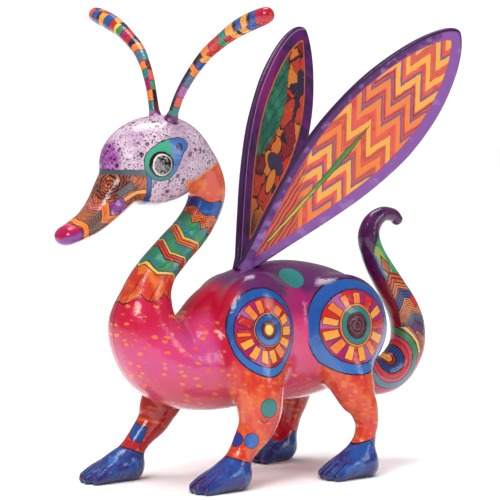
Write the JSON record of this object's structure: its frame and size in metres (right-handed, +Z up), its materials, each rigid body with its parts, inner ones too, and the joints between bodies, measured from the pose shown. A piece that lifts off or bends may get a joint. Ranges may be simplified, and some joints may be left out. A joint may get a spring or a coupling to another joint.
{
  "type": "carved fantasy animal figure",
  "caption": "Carved and painted wooden fantasy animal with a duck-billed head on a curved neck, leaf-shaped plug-in wings, turning antennae and a curled tail.",
  "frame": {"origin": "on the surface the figure stands on, at the centre of its bounding box seen from above", "axes": "+Z up, -X the way the animal faces, -Y its left side"},
  "size_m": [0.269, 0.2136, 0.2931],
  "materials": {
    "body_paint": "carved wood painted hot pink, crimson and purple with orange dabs, gloss varnish",
    "neck_paint": "carved wood painted in orange, blue and green bands with zigzag lines, gloss varnish",
    "head_paint": "carved wood painted pale lilac with dark speckles and an orange bill, gloss varnish",
    "eye_paint": "turned wooden half bead painted mottled grey with a cream rim, gloss varnish",
    "leg_paint": "carved wood painted orange red with sun discs and blue feet, gloss varnish",
    "tail_paint": "carved wood painted purple with green, orange and blue pattern bands, gloss varnish",
    "wing_paint": "thin carved wood painted coral with yellow zigzags and a purple border, gloss varnish",
    "antenna_paint": "bent carved wood painted in many-coloured blocks, gloss varnish",
    "bare_wood": "plain unpainted dowel"
  },
  "bodies": {
    "figure": {"torso": "body_paint", "neck": "neck_paint", "head": "head_paint", "left_eye": "eye_paint", "right_eye": "eye_paint", "front_left_leg": "leg_paint", "front_right_leg": "leg_paint", "rear_left_leg": "leg_paint", "rear_right_leg": "leg_paint", "tail": "tail_paint", "neck_dowel": "bare_wood", "head_dowel": "bare_wood", "tail_dowel": "bare_wood", "front_left_leg_dowel": "bare_wood", "front_right_leg_dowel": "bare_wood", "rear_left_leg_dowel": "bare_wood", "rear_right_leg_dowel": "bare_wood"},
    "left_wing": {"left_wing": "wing_paint"},
    "right_wing": {"right_wing": "wing_paint"},
    "left_antenna_pin": {"left_antenna_pin": "bare_wood"},
    "right_antenna_pin": {"right_antenna_pin": "bare_wood"},
    "left_antenna": {"left_antenna": "antenna_paint"},
    "right_antenna": {"right_antenna": "antenna_paint"}
  },
  "joints": [
    {"name": "left_wing_pull", "type": "slide", "parent": "figure", "child": "left_wing", "axis": [0.5, 0, 0.866], "range_m": [0, 0.014]},
    {"name": "right_wing_pull", "type": "slide", "parent": "figure", "child": "right_wing", "axis": [0.5, 0, 0.866], "range_m": [0, 0.014]},
    {"name": "left_antenna_pull", "type": "slide", "parent": "figure", "child": "left_antenna_pin", "axis": [0.1701, -0.4202, 0.8914], "range_m": [0, 0.008]},
    {"name": "right_antenna_pull", "type": "slide", "parent": "figure", "child": "right_antenna_pin", "axis": [0.1701, 0.4202, 0.8914], "range_m": [0, 0.008]},
    {"name": "left_antenna_turn", "type": "hinge", "parent": "left_antenna_pin", "child": "left_antenna", "pos_m": [-0.06092, -0.00935, 0.22465], "axis": [0.1701, -0.4202, 0.8914], "range_deg": [-90, 90]},
    {"name": "right_antenna_turn", "type": "hinge", "parent": "right_antenna_pin", "child": "right_antenna", "pos_m": [-0.06092, 0.00935, 0.22465], "axis": [0.1701, 0.4202, 0.8914], "range_deg": [-90, 90]}
  ]
}
